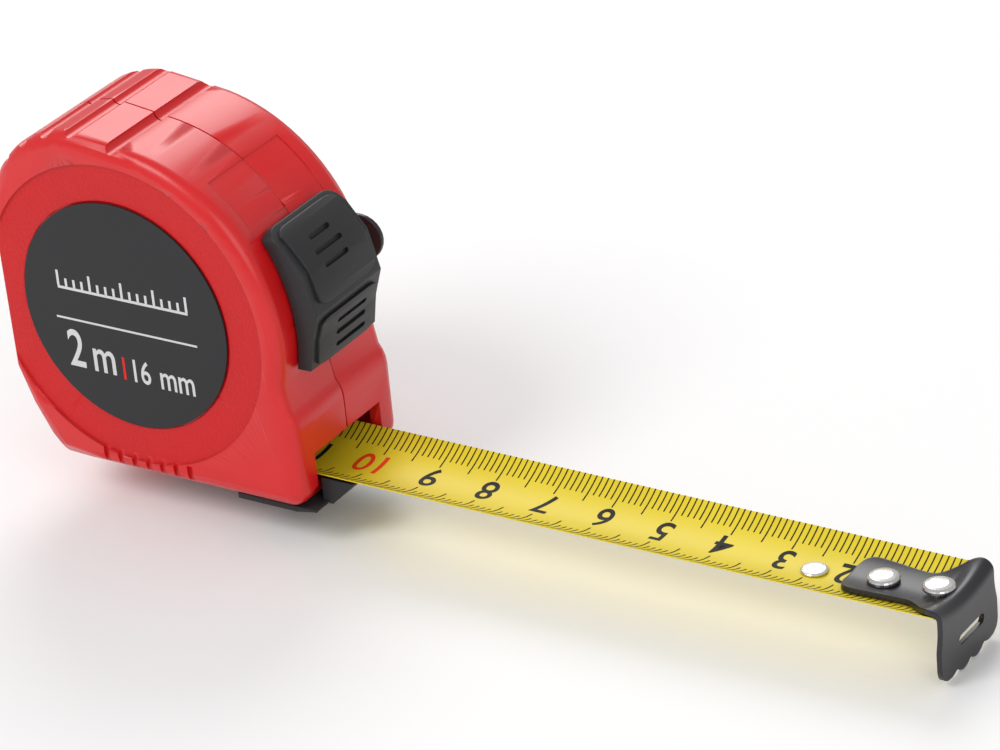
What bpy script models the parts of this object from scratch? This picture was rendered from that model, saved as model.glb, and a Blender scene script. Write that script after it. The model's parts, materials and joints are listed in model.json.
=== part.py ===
"""Pocket tape measure: a two-shell case, a sprung reel, a curved steel blade, an end hook and a thumb lock.

Frame: the origin is on the underside of the front foot, straight below the reel's axis. +X is the way the
blade pulls out, +Y is the belt clip's side and +Z is up. Units are metres. At rest the blade is about 100 mm
out and locked.
"""

from math import cos, radians, sin, sqrt, tau

import bmesh
import bpy
from mathutils import Matrix, Vector

for thing in list(bpy.data.objects):
    bpy.data.objects.remove(thing)

# Case. Its round front and its width follow the reel and the blade, further down.
wall = 0.0020
parting_gap = 0.0003  # between the two shells, and between any two pieces that touch
edge_round = 0.0020
corner_margin = 0.0006  # the side view's corners are this much larger than the edge round
base_height = 0.0012  # underside of the shells, above the foot's underside
nose_reach = 0.0012  # the flat nose stands ahead of the round front
nose_top = 0.0165
rear_space = 0.0040  # flange to the outside of the rear wall
crown_radius = 0.0180  # the case's round top rear corner
crown_rise = 0.0289  # top of the case above the reel's axis
floor_wall = 0.0011  # thinned under the blade's channel
rear_corners = ((0.0004, 0.0150), (0.0027, 0.0090), (0.0055, 0.0040))  # (in from the rear, height)
rear_toe = 0.0080

# Reel and spring
coil_radius = 0.0176  # the wound blade
coil_build = 0.00275  # depth of its turns on the drum
drum_wall = 0.0007
flange_lip = 0.0019  # flange above the coil
boss_space = 0.0083  # flange to the outside of the round front, which takes the screw bosses
axis_rise = 0.0003  # the reel's axis is this much higher than the round front's radius
side_space = 0.0021  # flange to the inside of a shell
flange_wall = 0.0008
hub_radius = 0.0041
hub_clearance = 0.0001
spindle_radius = 0.0024
spring_turns = 7
spring_strip = 0.0004
spring_half_width = 0.0060

# Blade
blade_half_width = 0.0080
blade_thickness = 0.0002
blade_curve = 0.0148  # radius of the cross section
blade_floor_gap = 0.000352  # under the blade's lowest line
blade_end = 0.1313
rigid_length = 0.0475  # the stretch next to the hook that stays rigid
channel_clearance = 0.0007
mouth_room = 0.0038  # mouth above the blade's edges
channel_rear = -0.0142
blade_rear_gap = 0.0005

# Hook
hook_plate = 0.0008
hook_play = 0.0004  # each way
hook_end_gap = 0.0001  # left between blade and hook when the hook is pushed right in
hook_length = 0.0178  # tail to inner face
hook_drop = 0.0112  # lower edge below the blade's edges
hook_overhang = 0.0005  # beyond the blade, each side
hook_slot_half_length = 0.0038
hook_slot_height = 0.0016
hook_slot_drop = 0.0062  # its middle below the blade's edges
hook_slot_shift = 0.0006  # towards the belt clip's side
hook_tail_half_width = 0.0045
hook_waist_half_width = 0.0039
hook_tail_round = 0.0022
hook_tail_blunt = 0.45  # share of the tail's width that is its flat end
hook_waist_from = 0.0118  # these are distances back from the inner face
hook_flare_from = 0.0073
hook_flare_length = 0.0060
hook_flatter_from = 0.0026
hook_flatter_length = 0.0024
hook_shoulder = 0.0027  # above the lower edge
hook_teeth = 4
hook_tooth_pitch = 0.0041
hook_tooth_depth = 0.0006
hook_bow = 0.0006  # the outer teeth are this much shorter
hook_dish = 0.5  # share of the blade's curve that is left at the bend
hook_side_drop = 0.0032  # the sides widen from this far below the blade's edges
hook_top_step = 0.0001  # the front plate stays this far below the top plate's upper face
hook_top_inset = 0.0002  # the top plate is narrower than the front plate, each side
rivet_setbacks = {"hook_rivet_rear": 0.0120, "hook_rivet_front": 0.0032}  # from the blade's end
rivet_shank = 0.0012
rivet_head = 0.0024
rivet_rise = 0.0010
rivet_tail = 0.0002  # shank below the blade
rivet_rim = 0.35  # share of a head's rise that is a straight rim
rivet_clearance = 0.00015
head_gap = 0.0001  # under a rivet's head
blade_rivet_setback = 0.0231
blade_rivet_head = 0.0020
blade_rivet_rise = 0.0005

# Lock
lock_half_width = 0.0086
lock_low = -11.0  # degrees round the reel's axis, up from straight ahead
lock_high = 34.0
lock_foot = (0.0022, -0.0053)  # ahead of the round front, and above the reel's axis
lock_shin = (0.0030, -0.0003)
lock_knee = (0.0044, 0.0041)
lock_pad = ((19.0, 0.0045), (28.0, 0.0031), (34.0, 0.0018))  # (degrees, out from the round front)
lock_edge_round = 0.0009
lock_travel = 14.0
neck_angles = (4.0, 14.0)
neck_half_width = 0.0024
neck_room = 2.0  # degrees of slot left at each end of its travel
shoe_inset = 0.0015  # the curved arm that reaches the blade, inside the case's wall
shoe_wall = 0.0020
shoe_half_width = 0.0040
shoe_low = -50.0
shoe_lean = 3.0  # the arm's inside ends this much lower than its outside
shoe_blade_gap = 0.0004
shoe_toe = (0.0005, 0.0035)  # back from the arm's outside
lock_spring_strip = 0.0004
lock_spring_high = -8.0  # degrees round the reel's axis
lock_spring_clearance = 3.0  # above the toe at the end of its travel

# Front bumper
foot_thickness = 0.0009
foot_rear = 0.0160
foot_inset = 0.0016  # in from the case's sides
foot_toe_gap = 0.0002
foot_tongue_rear = -0.0060  # a narrower tongue under the case carries the frame's origin
foot_tongue_half_width = 0.0060
chin_reach = 0.0060  # ahead of the case
chin_toe_reach = 0.0014
chin_lip = 0.0006
chin_overhang = 0.0003

# Label
label_radius = 0.0185
label_thickness = 0.0003
label_recess = 0.00075

# Fasteners and belt clip
screw_shank = 0.00095
screw_head = 0.00195
screw_head_height = 0.0008
screw_tip = -0.0085
screw_tip_gap = 0.0010
drive_slot_half_length = 0.0014
drive_slot_half_width = 0.0003
drive_slot_depth = 0.0004
boss_radius = 0.0022
boss_inset = 0.0051  # from the outside of the case to a boss's axis
lower_front_screw = (0.0047, 0.0035)  # back from the nose, below its top
top_front_screw = 61.8  # degrees round the reel's axis
top_rear_screw = 132.7  # degrees round the crown's corner
crown_screw_inset = 0.0055
lower_rear_screw = (0.0064, 0.0115)  # ahead of the rear, above the underside
clip_plate = 0.0008
clip_gap = 0.0032  # between the case and the clip's tongue
clip_half_height = 0.0040
clip_rise = 0.0034  # its middle above the reel's axis
clip_rear = -0.0155
clip_pad_front = -0.0050
clip_tongue_start = -0.0010
clip_tongue_end = 0.0200
clip_tip = 0.0262
clip_tip_flare = 0.0012
clip_screw_place = -0.0105
clip_screw_shank = 0.0013
clip_screw_head = 0.0026
clip_screw_head_height = 0.0010
clip_screw_reach = 0.0014  # past the inside of the shell
spindle_seat_depth = 0.0010

round_steps = 56
small_round_steps = 24
join_depth = 0.0002  # a shank runs this far into its head
overrun = 0.0010  # a cutter runs this far past what it cuts, and a joined piece this far in

drum_radius = coil_radius - coil_build
flange_radius = coil_radius + flange_lip
front_radius = flange_radius + boss_space
reel_height = front_radius + axis_rise
case_front = front_radius + nose_reach
case_rear = -(flange_radius + rear_space)
crown_height = reel_height + crown_rise
crown_centre = (case_rear + crown_radius, crown_height - crown_radius)
flange_inner = blade_half_width + parting_gap
inner_side = flange_inner + flange_wall + side_space
half_width = inner_side + wall  # parting plane to the outside of one shell

blade_flank = sqrt(blade_curve**2 - blade_half_width**2)
channel_floor = base_height + floor_wall
blade_bottom = channel_floor + blade_floor_gap + blade_thickness  # lowest line of the printed face
blade_edge_height = blade_bottom + blade_curve - blade_flank
mouth_top = blade_edge_height + mouth_room
rivet_foot = blade_bottom - blade_thickness - rivet_tail

hook_inner_face = blade_end + hook_play + hook_end_gap
hook_outer_face = hook_inner_face + hook_plate
hook_tail = hook_inner_face - hook_length
hook_bottom = blade_edge_height - hook_drop
hook_half_width = blade_half_width + hook_overhang

shoe_radius = front_radius - wall - shoe_inset
foot_half_width = half_width - foot_inset
chin_front = case_front + chin_reach
chin_toe = case_front + chin_toe_reach
chin_half_width = blade_half_width + chin_overhang
clip_middle = reel_height + clip_rise


def blade_height(y):
    """Height of the printed face at y."""
    y = min(abs(y), blade_half_width)
    return blade_edge_height - (sqrt(blade_curve**2 - y**2) - blade_flank)


def around_reel(degrees, radius):
    return (radius * cos(radians(degrees)), reel_height + radius * sin(radians(degrees)))


def from_front(offset):
    """A point given by how far it is ahead of the round front and above the reel's axis."""
    return (front_radius + offset[0], reel_height + offset[1])


def arc(centre, radius, start, end, steps):
    points = []
    for i in range(steps + 1):
        angle = radians(start + (end - start) * i / steps)
        points.append((centre[0] + radius * cos(angle), centre[1] + radius * sin(angle)))
    return points


def case_outline():
    """The case from the side, anticlockwise from its lower front corner, as (x, z)."""
    corner = edge_round + corner_margin
    points = arc((case_front - corner, base_height + corner), corner, -90, 0, 4)
    points += arc((case_front - 2 * corner, nose_top - corner), 2 * corner, 0, 40, 3)
    points += arc((0, reel_height), front_radius, -14, 80, 26)
    points += arc(crown_centre, crown_radius, 93, 180, 18)
    points += [(case_rear + inward, height) for inward, height in rear_corners]
    points += [(case_rear + rear_toe, base_height)]
    return points


def screw_places():
    """The four screws as (x, z): lower front, top front, top rear and lower rear."""
    lower_front = (case_front - lower_front_screw[0], nose_top - lower_front_screw[1])
    top_front = around_reel(top_front_screw, front_radius - boss_inset)
    reach, angle = crown_radius - crown_screw_inset, radians(top_rear_screw)
    top_rear = (crown_centre[0] + reach * cos(angle), crown_centre[1] + reach * sin(angle))
    lower_rear = (case_rear + lower_rear_screw[0], base_height + lower_rear_screw[1])
    return (lower_front, top_front, top_rear, lower_rear)


def moved_in(points, distance):
    """An anticlockwise outline with each side moved in by the distance."""
    result = []
    for i, point in enumerate(points):
        here = Vector(point)
        before = (here - Vector(points[i - 1])).normalized()
        after = (Vector(points[(i + 1) % len(points)]) - here).normalized()
        inward = Vector((-before.y, before.x)) + Vector((-after.y, after.x))
        inward = inward.normalized()
        cosine = inward.dot(Vector((-before.y, before.x)))
        result.append(tuple(here + inward * distance / cosine))
    return result


def material(name, colour, roughness, metallic=0.0):
    made = bpy.data.materials.new(name)
    made.use_nodes = True
    shader = made.node_tree.nodes["Principled BSDF"]
    shader.inputs["Base Color"].default_value = (*colour, 1.0)
    shader.inputs["Roughness"].default_value = roughness
    shader.inputs["Metallic"].default_value = metallic
    return made


def in_space(axis, along, a, b):
    """A point whose coordinate on the axis is along, and whose other two are a and b, in x, y, z order."""
    if axis == "x":
        return (along, a, b)
    if axis == "y":
        return (a, along, b)
    return (a, b, along)


def prism(points, axis, low, high):
    """A bmesh: the closed outline, pushed along the axis from low to high."""
    bm = bmesh.new()
    face = bm.faces.new([bm.verts.new(in_space(axis, low, a, b)) for a, b in points])
    grown = bmesh.ops.extrude_face_region(bm, geom=[face])
    moved = [item for item in grown["geom"] if isinstance(item, bmesh.types.BMVert)]
    bmesh.ops.translate(bm, verts=moved, vec=in_space(axis, high - low, 0, 0))
    bmesh.ops.recalc_face_normals(bm, faces=bm.faces)
    return bm


def disc(centre, radius, axis, low, high, steps=small_round_steps):
    return prism(arc(centre, radius, 0, 360 * (steps - 1) / steps, steps - 1), axis, low, high)


def turned(profile, steps=round_steps):
    """A ring about the reel's axis from a closed profile of (radius, y)."""
    bm = bmesh.new()
    face = bm.faces.new([bm.verts.new((radius, y, reel_height)) for radius, y in profile])
    edges = list(face.edges)
    bm.faces.remove(face)
    centre = (0, 0, reel_height)
    bmesh.ops.spin(bm, geom=edges, cent=centre, axis=(0, 1, 0), angle=tau, steps=steps, use_merge=True)
    bmesh.ops.remove_doubles(bm, verts=bm.verts, dist=1e-7)
    bmesh.ops.recalc_face_normals(bm, faces=bm.faces)
    return bm


def turned_upright(profile, place, steps=small_round_steps):
    """A solid about the vertical line at x = place, from a (radius, z) profile closed at both ends."""
    bm = bmesh.new()
    verts = [bm.verts.new((place + radius, 0, z)) for radius, z in profile]
    edges = [bm.edges.new(pair) for pair in zip(verts, verts[1:])]
    bmesh.ops.spin(bm, geom=edges, cent=(place, 0, 0), axis=(0, 0, 1), angle=tau, steps=steps, use_merge=True)
    bmesh.ops.remove_doubles(bm, verts=bm.verts, dist=1e-7)
    bmesh.ops.recalc_face_normals(bm, faces=bm.faces)
    return bm


def add(name, bm, finish, holder=None, smooth=True):
    """The object for a bmesh in world space. With a holder its origin is the holder's."""
    mesh = bpy.data.meshes.new(name)
    if holder:
        bmesh.ops.transform(bm, matrix=Matrix.Translation(-holder.location), verts=bm.verts)
    bm.to_mesh(mesh)
    bm.free()
    if smooth:
        mesh.shade_smooth()
        mesh.set_sharp_from_angle(angle=radians(35))
    made = bpy.data.objects.new(name, mesh)
    bpy.context.scene.collection.objects.link(made)
    mesh.materials.append(finish)
    made.parent = holder
    return made


def helper(name, bm):
    made = add(name, bm, finishes["steel"], smooth=False)
    made.hide_render = True
    made.display_type = "WIRE"
    return made


def combine(target, bm, operation, name):
    modifier = target.modifiers.new(name, "BOOLEAN")
    modifier.operation = operation
    modifier.solver = "EXACT"
    modifier.object = helper(f"{target.name}_{name}", bm)


def axis_empty(name, location):
    made = bpy.data.objects.new(name, None)
    made.location = location
    made.empty_display_size = 0.01
    bpy.context.scene.collection.objects.link(made)
    return made


def channel_cutter():
    side = blade_half_width + channel_clearance
    section = [(-side, channel_floor), (side, channel_floor), (side, mouth_top), (-side, mouth_top)]
    return prism(section, "x", channel_rear, case_front + 5 * overrun)


def lock_slot_cutter():
    side = neck_half_width + parting_gap
    low, high = neck_angles[0] - neck_room, neck_angles[1] + lock_travel + neck_room
    outline = arc((0, reel_height), front_radius + 2 * overrun, low, high, 8)
    outline += arc((0, reel_height), front_radius - wall - 2 * overrun, high, low, 8)
    return prism(outline, "y", -side, side)


def case_shell(name, side):
    """One half of the case: side is -1 for the label's side and 1 for the clip's."""
    outline = case_outline()
    bm = prism(outline, "y", side * half_width, side * parting_gap / 2)
    outer = [edge for edge in bm.edges if all(abs(v.co.y - side * half_width) < 1e-6 for v in edge.verts)]
    bmesh.ops.bevel(bm, geom=outer, offset=edge_round, segments=3, profile=0.5, affect="EDGES", material=-1)
    shell = add(name, bm, finishes["case"])
    cavity = prism(moved_in(outline, wall), "y", side * inner_side, side * -overrun)
    combine(shell, cavity, "DIFFERENCE", "cavity")
    inside = side * (inner_side + wall / 2)
    boss_ends = sorted((inside, side * parting_gap / 2))
    for i, place in enumerate(screw_places()):
        combine(shell, disc(place, boss_radius, "y", *boss_ends), "UNION", f"boss_{i}")
    hub_ends = sorted((inside, side * (flange_inner - parting_gap)))
    centre = (0, reel_height)
    combine(shell, disc(centre, hub_radius, "y", *hub_ends, steps=48), "UNION", "hub")
    seat = spindle_radius + parting_gap
    seat_ends = sorted((side * (inner_side - spindle_seat_depth), 0))
    combine(shell, disc(centre, seat, "y", *seat_ends), "DIFFERENCE", "spindle_seat")
    bore = screw_shank + parting_gap
    bore_end = screw_tip - screw_tip_gap
    for i, place in enumerate(screw_places()):
        ends = (-overrun, half_width + overrun) if side > 0 else (bore_end, overrun)
        combine(shell, disc(place, bore, "y", *ends), "DIFFERENCE", f"bore_{i}")
    combine(shell, lock_slot_cutter(), "DIFFERENCE", "lock_slot")
    combine(shell, channel_cutter(), "DIFFERENCE", "channel")
    return shell


def case():
    left = case_shell("case_left", -1)
    ends = (-half_width - overrun, -half_width + label_recess)
    recess = disc((0, reel_height), label_radius + parting_gap, "y", *ends, 96)
    combine(left, recess, "DIFFERENCE", "label_recess")
    right = case_shell("case_right", 1)
    head = screw_head + parting_gap
    sink_floor = half_width - screw_head_height - 2 * parting_gap
    for i, place in enumerate(screw_places()):
        combine(right, disc(place, head, "y", sink_floor, half_width + overrun), "DIFFERENCE", f"sink_{i}")
    bore = clip_screw_shank + parting_gap
    ends = (inner_side - overrun, half_width + overrun)
    combine(right, disc((clip_screw_place, clip_middle), bore, "y", *ends), "DIFFERENCE", "clip_hole")


def case_screws():
    long, wide = drive_slot_half_length, drive_slot_half_width
    top = half_width - parting_gap
    under_head = top - screw_head_height
    for i, (x, z) in enumerate(screw_places()):
        shank = disc((x, z), screw_shank, "y", screw_tip, under_head + join_depth)
        screw = add(f"case_screw_{i + 1}", shank, finishes["steel"])
        combine(screw, disc((x, z), screw_head, "y", under_head, top), "UNION", "head")
        slot = [(x - long, z - wide), (x + long, z - wide), (x + long, z + wide), (x - long, z + wide)]
        combine(screw, prism(slot, "y", top - drive_slot_depth, top + overrun), "DIFFERENCE", "drive_slot")


def label():
    outer = -half_width + label_recess - parting_gap - label_thickness
    sheet = disc((0, reel_height), label_radius, "y", outer, outer + label_thickness, 96)
    add("label", sheet, finishes["label"])


def trough(start, clearance):
    """A cutter for the hollow under the blade, from x = start forwards, with a clearance."""
    steps = 16
    side = blade_half_width + 2 * overrun
    top = mouth_top + 3 * overrun
    points = [(-side, top), (-side, blade_height(side) - blade_thickness - clearance)]
    for i in range(steps + 1):
        y = blade_half_width * (2 * i / steps - 1)
        points.append((y, blade_height(y) - blade_thickness - clearance))
    points += [(side, blade_height(side) - blade_thickness - clearance), (side, top)]
    return prism(points, "x", start, chin_front + overrun)


def front_bumper():
    back, top = case_front + parting_gap, blade_edge_height
    outline = [(back, 0), (chin_toe, 0), (chin_front, top - chin_lip), (chin_front, top), (back, top)]
    chin = prism(outline, "y", -chin_half_width, chin_half_width)
    bumper = add("front_bumper", chin, finishes["bumper"], smooth=False)
    combine(bumper, trough(case_front, blade_floor_gap), "DIFFERENCE", "trough")
    toe = chin_toe - foot_toe_gap
    side, tongue = foot_half_width, foot_tongue_half_width
    foot = [(foot_rear, -side), (toe, -side), (toe, side), (foot_rear, side), (foot_rear, tongue)]
    foot += [(foot_tongue_rear, tongue), (foot_tongue_rear, -tongue), (foot_rear, -tongue)]
    combine(bumper, prism(foot, "z", 0, foot_thickness), "UNION", "foot")


def spindle():
    end = inner_side - spindle_seat_depth - parting_gap
    pin = add("spindle", disc((0, reel_height), spindle_radius, "y", -end, end, steps=36), finishes["steel"])
    half = spring_strip
    low, high = reel_height - spindle_radius - overrun, reel_height + spindle_radius + overrun
    outline = [(-half, low), (half, low), (half, high), (-half, high)]
    slot = prism(outline, "y", -spring_half_width, spring_half_width)
    combine(pin, slot, "DIFFERENCE", "spring_slot")


def mainspring():
    """A flat spiral strip from the spindle to the drum."""
    start, end = spindle_radius + 2 * spring_strip, drum_radius - drum_wall - 2 * spring_strip
    steps = spring_turns * 24
    inside, outside = [], []
    for i in range(steps + 1):
        angle = tau * spring_turns * i / steps
        radius = start + (end - start) * i / steps
        for row, reach in ((inside, radius), (outside, radius + spring_strip)):
            row.append((reach * cos(angle), reel_height + reach * sin(angle)))
    bm = bmesh.new()
    low = [[bm.verts.new((x, -spring_half_width, z)) for x, z in row] for row in (inside, outside)]
    high = [[bm.verts.new((x, spring_half_width, z)) for x, z in row] for row in (inside, outside)]
    ring = [low[0], low[1], high[1], high[0]]
    for i in range(steps):
        for a, b in zip(ring, ring[1:] + ring[:1]):
            bm.faces.new((a[i], a[i + 1], b[i + 1], b[i]))
    bm.faces.new([row[0] for row in ring])
    bm.faces.new([row[-1] for row in reversed(ring)])
    bmesh.ops.recalc_face_normals(bm, faces=bm.faces)
    add("mainspring", bm, finishes["spring"])


def reel(axle):
    bore = hub_radius + hub_clearance
    outer = flange_inner + flange_wall
    ring = drum_radius - drum_wall
    profile = [(bore, -outer), (flange_radius, -outer), (flange_radius, -flange_inner)]
    profile += [(drum_radius, -flange_inner), (drum_radius, blade_half_width), (ring, blade_half_width)]
    profile += [(ring, -flange_inner), (bore, -flange_inner)]
    add("reel_drum", turned(profile), finishes["reel"], axle)
    cover = [(bore, flange_inner), (flange_radius, flange_inner), (flange_radius, outer), (bore, outer)]
    add("reel_cover", turned(cover), finishes["reel"], axle)
    inside = drum_radius + parting_gap
    coil = [(inside, -blade_half_width), (coil_radius, -blade_half_width)]
    coil += [(coil_radius, blade_half_width), (inside, blade_half_width)]
    add("blade_coil", turned(coil), finishes["blade"], axle)


def blade_strip(name, start, end, holder):
    """A straight stretch of blade with its curved cross section."""
    steps = 14
    top, bottom = [], []
    for i in range(steps + 1):
        y = blade_half_width * (2 * i / steps - 1)
        top.append((y, blade_height(y)))
        bottom.append((y, blade_height(y) - blade_thickness))
    return add(name, prism(top + bottom[::-1], "x", start, end), finishes["blade"], holder)


def obround(centre, half_length, radius):
    """A slot's outline along x, as (x, y)."""
    x, y = centre
    points = arc((x + half_length, y), radius, -90, 90, 8)
    return points + arc((x - half_length, y), radius, 90, 270, 8)


def blade(slider):
    rigid_start = blade_end - rigid_length
    blade_strip("blade_rear", channel_rear + blade_rear_gap, rigid_start - parting_gap, slider)
    front = blade_strip("blade_front", rigid_start, blade_end, slider)
    for i, setback in enumerate([*rivet_setbacks.values(), blade_rivet_setback]):
        bore = disc((blade_end - setback, 0), rivet_shank + rivet_clearance, "z", 0, mouth_top)
        combine(front, bore, "DIFFERENCE", f"rivet_hole_{i}")
    for name, setback in rivet_setbacks.items():
        place = blade_end - setback
        rise = max(hook_underside(place, rivet_head), hook_underside(place + rivet_head + hook_play, 0))
        head_base = rise + hook_plate + head_gap
        add_rivet(name, place, head_base, rivet_head, rivet_rise, slider)
    base = blade_height(blade_rivet_head) + head_gap
    place = blade_end - blade_rivet_setback
    add_rivet("blade_rivet", place, base, blade_rivet_head, blade_rivet_rise, slider)


def add_rivet(name, place, base, head, rise, holder):
    dome = [(0, base + rise)]
    for i in range(1, 6):
        angle = radians(90 * i / 5)
        dome.append((head * sin(angle), base + rise * (rivet_rim + (1 - rivet_rim) * cos(angle))))
    profile = dome + [(head, base), (rivet_shank, base), (rivet_shank, rivet_foot), (0, rivet_foot)]
    add(name, turned_upright(profile, place), finishes["rivet"], holder)


def hook_half(x):
    """Half the width of the hook's top plate at x: a round tail, a waist, then a flare to full width."""
    tail, waist, full = hook_tail_half_width, hook_waist_half_width, blade_half_width - hook_top_inset
    waist_start, flare_start = hook_inner_face - hook_waist_from, hook_inner_face - hook_flare_from
    if x < hook_tail + hook_tail_round:
        into = (x - hook_tail) / hook_tail_round
        blunt = hook_tail_blunt
        return tail * (blunt + (1 - blunt) * sqrt(max(0.0, 1 - (1 - into) ** 2)))
    if x < flare_start:
        return tail + (waist - tail) * smooth((x - waist_start) / (flare_start - waist_start))
    return waist + (full - waist) * smooth((x - flare_start) / hook_flare_length)


def smooth(share):
    share = min(max(share, 0.0), 1.0)
    return share * share * (3 - 2 * share)


def hook_underside(x, y):
    """The top plate follows the blade's curve, which flattens towards the bend."""
    flatter = (1 - hook_dish) * (blade_edge_height - blade_height(y))
    start = hook_inner_face - hook_flatter_from
    return blade_height(y) + parting_gap + flatter * smooth((x - start) / hook_flatter_length)


def hook_top_plate():
    stations, columns = 24, 10
    bm = bmesh.new()
    rows = []
    end = hook_inner_face + hook_plate / 2
    for i in range(stations + 1):
        x = hook_tail + (end - hook_tail) * i / stations
        under, over = [], []
        for j in range(columns + 1):
            y = hook_half(x) * (2 * j / columns - 1)
            z = hook_underside(x, y)
            under.append(bm.verts.new((x, y, z)))
            over.append(bm.verts.new((x, y, z + hook_plate)))
        rows.append(under + over[::-1])
    for a, b in zip(rows, rows[1:]):
        for j in range(len(a)):
            k = (j + 1) % len(a)
            bm.faces.new((a[j], a[k], b[k], b[j]))
    for row in (rows[0], rows[-1]):
        last = len(row) - 1
        for j in range(columns):
            bm.faces.new((row[j], row[j + 1], row[last - j - 1], row[last - j]))
    bmesh.ops.recalc_face_normals(bm, faces=bm.faces)
    return bm


def hook_front_outline():
    """The front plate in (y, z): a dished top, straight sides, a flare, and a toothed lower edge."""
    shoulder = hook_bottom + hook_shoulder
    flare = blade_edge_height - hook_side_drop
    points = [(-blade_half_width, flare), (-hook_half_width, shoulder)]
    outer_tooth = hook_tooth_pitch * (hook_teeth - 1) / 2
    for i in range(2 * hook_teeth - 1):
        y = hook_tooth_pitch * i / 2 - outer_tooth
        bow = (y / outer_tooth) ** 2 * hook_bow
        bite = hook_tooth_depth if i % 2 else 0.0
        points.append((y, hook_bottom + bow + bite))
    points += [(hook_half_width, shoulder), (blade_half_width, flare)]
    steps = 16
    for i in range(steps + 1):
        y = blade_half_width * (1 - 2 * i / steps)
        points.append((y, hook_underside(hook_outer_face, y) + hook_plate - hook_top_step))
    return points


def hook(slider):
    front = prism(hook_front_outline(), "x", hook_inner_face, hook_outer_face)
    made = add("hook", front, finishes["hook"], slider, smooth=False)
    combine(made, hook_top_plate(), "UNION", "top_plate")
    radius = hook_slot_height / 2
    centre = (hook_slot_shift, blade_edge_height - hook_slot_drop)
    outline = obround(centre, hook_slot_half_length - radius, radius)
    slot = prism(outline, "x", hook_inner_face - overrun, hook_outer_face + overrun)
    combine(made, slot, "DIFFERENCE", "nail_slot")
    for i, setback in enumerate(rivet_setbacks.values()):
        hole = obround((blade_end - setback, 0), hook_play, rivet_shank + rivet_clearance)
        combine(made, prism(hole, "z", rivet_foot, mouth_top), "DIFFERENCE", f"rivet_slot_{i}")


def from_axis(point):
    return (point - Vector((0, point.y, reel_height))).length


def lock(pivot):
    under = front_radius + parting_gap
    outline = arc((0, reel_height), under, lock_high, lock_low, 18)
    outline += [from_front(offset) for offset in (lock_foot, lock_shin, lock_knee)]
    outline += [around_reel(angle, front_radius + out) for angle, out in lock_pad]
    bm = prism(outline[::-1], "y", -lock_half_width, lock_half_width)
    sides = [e for e in bm.edges if abs(e.verts[0].co.y - e.verts[1].co.y) < 1e-7]
    outer = [e for e in sides if all(from_axis(v.co) > under + overrun for v in e.verts)]
    bmesh.ops.bevel(
        bm, geom=outer, offset=lock_edge_round, segments=2, profile=0.5, affect="EDGES", material=-1
    )
    button = add("lock_button", bm, finishes["lock"], pivot)
    low, high = neck_angles
    inner = shoe_radius + parting_gap
    neck = arc((0, reel_height), inner, low, high, 4) + arc((0, reel_height), under + overrun / 2, high, low, 4)
    combine(button, prism(neck[::-1], "y", -neck_half_width, neck_half_width), "UNION", "neck")
    arm = arc((0, reel_height), shoe_radius, high, shoe_low, 24)
    x, z = around_reel(shoe_low, shoe_radius)
    tip = blade_height(shoe_half_width) + shoe_blade_gap
    arm += [(x - back, tip) for back in shoe_toe]
    arm += arc((0, reel_height), shoe_radius - shoe_wall, shoe_low - shoe_lean, high, 24)
    add("lock_shoe", prism(arm[::-1], "y", -shoe_half_width, shoe_half_width), finishes["lock"], pivot)


def lock_spring():
    middle = (shoe_radius + front_radius - wall) / 2
    outer, inner = middle + lock_spring_strip / 2, middle - lock_spring_strip / 2
    low, high = shoe_low + lock_travel + lock_spring_clearance, lock_spring_high
    outline = arc((0, reel_height), inner, low, high, 14) + arc((0, reel_height), outer, high, low, 14)
    add("lock_spring", prism(outline[::-1], "y", -shoe_half_width, shoe_half_width), finishes["spring"])


def belt_clip():
    """A sprung strip along x: a screwed pad, a step off the case, a tongue and a flared tip."""
    seat = half_width + parting_gap
    off = half_width + clip_gap
    tip = off + clip_tip_flare
    path = [(clip_rear, seat), (clip_pad_front, seat), (clip_tongue_start, off)]
    path += [(clip_tongue_end, off), (clip_tip, tip)]
    outside = [(x, y + clip_plate) for x, y in path]
    strip = prism(path + outside[::-1], "z", clip_middle - clip_half_height, clip_middle + clip_half_height)
    clip = add("belt_clip", strip, finishes["clip"], smooth=False)
    place = (clip_screw_place, clip_middle)
    hole = disc(place, clip_screw_shank + parting_gap, "y", half_width, off + 2 * overrun)
    combine(clip, hole, "DIFFERENCE", "screw_hole")
    under_head = seat + clip_plate + parting_gap
    top = under_head + clip_screw_head_height
    end = inner_side - clip_screw_reach
    shank = disc(place, clip_screw_shank, "y", end, under_head + join_depth)
    screw = add("belt_clip_screw", shank, finishes["steel"])
    combine(screw, disc(place, clip_screw_head, "y", under_head, top), "UNION", "head")


finishes = {
    "case": material("red_case", (0.68, 0.018, 0.016), 0.32),
    "label": material("label_black", (0.022, 0.022, 0.024), 0.45),
    "lock": material("lock_black", (0.020, 0.020, 0.022), 0.50),
    "bumper": material("bumper_black", (0.022, 0.022, 0.023), 0.60),
    "blade": material("blade_yellow", (0.72, 0.58, 0.05), 0.38),
    "hook": material("hook_black", (0.025, 0.024, 0.026), 0.35, 0.6),
    "clip": material("clip_black", (0.022, 0.022, 0.024), 0.40, 0.5),
    "rivet": material("rivet_bright", (0.72, 0.71, 0.69), 0.25, 1.0),
    "steel": material("screw_steel", (0.45, 0.45, 0.46), 0.35, 1.0),
    "spring": material("spring_steel", (0.30, 0.31, 0.33), 0.35, 1.0),
    "reel": material("reel_grey", (0.12, 0.12, 0.13), 0.50),
}

reel_axle = axis_empty("reel_axle", (0, 0, reel_height))
blade_slider = axis_empty("blade_slider", (blade_end, 0, blade_edge_height))
hook_slider = axis_empty("hook_slider", (hook_inner_face, 0, blade_edge_height))
lock_pivot = axis_empty("lock_pivot", (0, 0, reel_height))

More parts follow.
